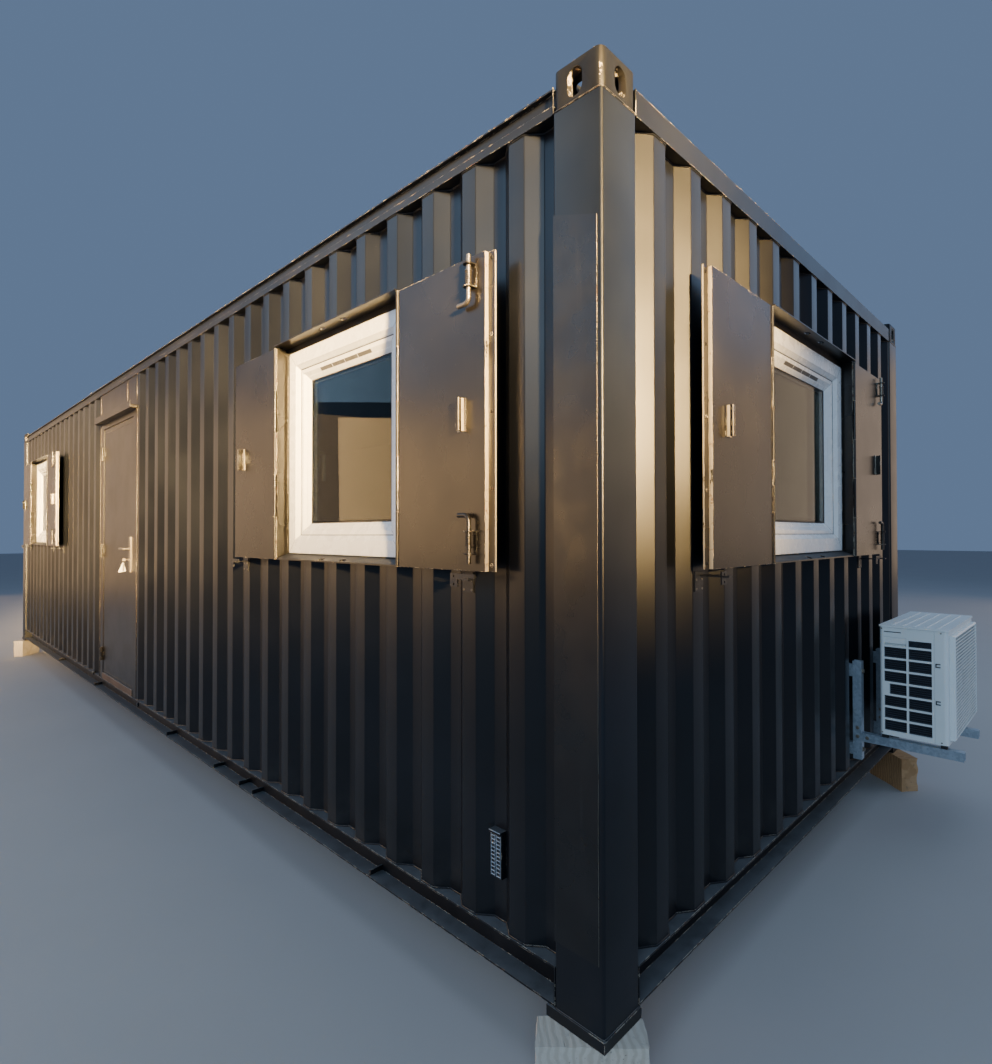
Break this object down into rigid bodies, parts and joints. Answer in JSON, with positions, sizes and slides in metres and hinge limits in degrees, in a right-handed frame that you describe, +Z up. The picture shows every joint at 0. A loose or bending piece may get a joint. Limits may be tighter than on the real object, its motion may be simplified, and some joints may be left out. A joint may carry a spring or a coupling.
{
  "type": "shipping container cabin",
  "caption": "Black corrugated steel cabin on timber blocks with an entrance door, shuttered windows and a cooling unit on its end wall.",
  "frame": {"origin": "on the ground, at the middle of everything that stands over it, cabin, blocks and cooling unit bracket", "axes": "+X along the cabin towards the end wall with the window and the cooling unit, -Y out through the entrance door, +Z up"},
  "size_m": [9.7384, 3.179, 2.781],
  "materials": {
    "dark_paint": "semi-gloss near-black paint, chipped along its edges",
    "worn_paint": "worn near-black paint with rusty chips",
    "rusty_paint": "worn brown step plate",
    "white_board": "matt white lining",
    "floor_board": "sealed floor board",
    "white_frame": "satin white window profile",
    "unit_white": "smooth off-white coated sheet",
    "window_glass": "clear double glazing",
    "pad_rubber": "matt black",
    "zinc_steel": "galvanised steel",
    "handle_steel": "satin metal lever furniture",
    "rough_timber": "rough sawn timber"
  },
  "bodies": {
    "cabin": {"corner_posts": "dark_paint", "corner_fittings": "worn_paint", "foot_plates": "worn_paint", "side_bottom_rails": "dark_paint", "end_bottom_rails": "dark_paint", "side_top_rails": "dark_paint", "end_top_rails": "dark_paint", "floor_bearers": "dark_paint", "floor_deck": "floor_board", "roof_sheet": "dark_paint", "front_wall_near": "dark_paint", "front_wall_far": "dark_paint", "over_door_panel": "dark_paint", "rear_wall": "dark_paint", "window_end_wall": "dark_paint", "plain_end_wall": "dark_paint", "wall_lining": "white_board", "ceiling": "white_board", "door_jambs": "dark_paint", "door_head": "dark_paint", "door_gutter": "dark_paint", "threshold": "rusty_paint", "window_hoods": "dark_paint", "window_sills": "dark_paint", "window_jambs": "dark_paint", "window_frames": "white_frame", "window_sashes": "white_frame", "window_panes": "window_glass", "fixed_hinges": "worn_paint", "shutter_catches": "dark_paint", "wall_vent": "worn_paint", "unit_casing": "unit_white", "unit_lid": "unit_white", "unit_grille": "unit_white", "unit_pads": "pad_rubber", "unit_bracket": "zinc_steel", "timber_blocks": "rough_timber"},
    "door": {"door_leaf": "dark_paint", "door_handle": "handle_steel"},
    "near_shutter_right_leaf": {"near_shutter_right": "dark_paint"},
    "near_shutter_left_leaf": {"near_shutter_left": "dark_paint"},
    "end_shutter_right_leaf": {"end_shutter_right": "dark_paint"},
    "end_shutter_left_leaf": {"end_shutter_left": "dark_paint"},
    "far_shutter_right_leaf": {"far_shutter_right": "dark_paint"},
    "far_shutter_left_leaf": {"far_shutter_left": "dark_paint"}
  },
  "joints": [
    {"name": "door_hinge", "type": "hinge", "parent": "cabin", "child": "door", "pos_m": [-0.72328, -1.4885, 1.378], "axis": [0, 0, -1], "range_deg": [0, 160]},
    {"name": "near_shutter_right_hinge", "type": "hinge", "parent": "cabin", "child": "near_shutter_right_leaf", "pos_m": [3.58622, -1.5485, 1.868], "axis": [0, 0, -1], "range_deg": [0, 180]},
    {"name": "near_shutter_left_hinge", "type": "hinge", "parent": "cabin", "child": "near_shutter_left_leaf", "pos_m": [2.64222, -1.5485, 1.868], "axis": [0, 0, 1], "range_deg": [0, 180]},
    {"name": "end_shutter_right_hinge", "type": "hinge", "parent": "cabin", "child": "end_shutter_right_leaf", "pos_m": [4.46822, 0.4545, 1.868], "axis": [0, 0, -1], "range_deg": [0, 180]},
    {"name": "end_shutter_left_hinge", "type": "hinge", "parent": "cabin", "child": "end_shutter_left_leaf", "pos_m": [4.46822, -0.5395, 1.868], "axis": [0, 0, 1], "range_deg": [0, 180]},
    {"name": "far_shutter_right_hinge", "type": "hinge", "parent": "cabin", "child": "far_shutter_right_leaf", "pos_m": [-2.74678, -1.5485, 1.868], "axis": [0, 0, -1], "range_deg": [0, 180]},
    {"name": "far_shutter_left_hinge", "type": "hinge", "parent": "cabin", "child": "far_shutter_left_leaf", "pos_m": [-3.74078, -1.5485, 1.868], "axis": [0, 0, 1], "range_deg": [0, 180]}
  ]
}
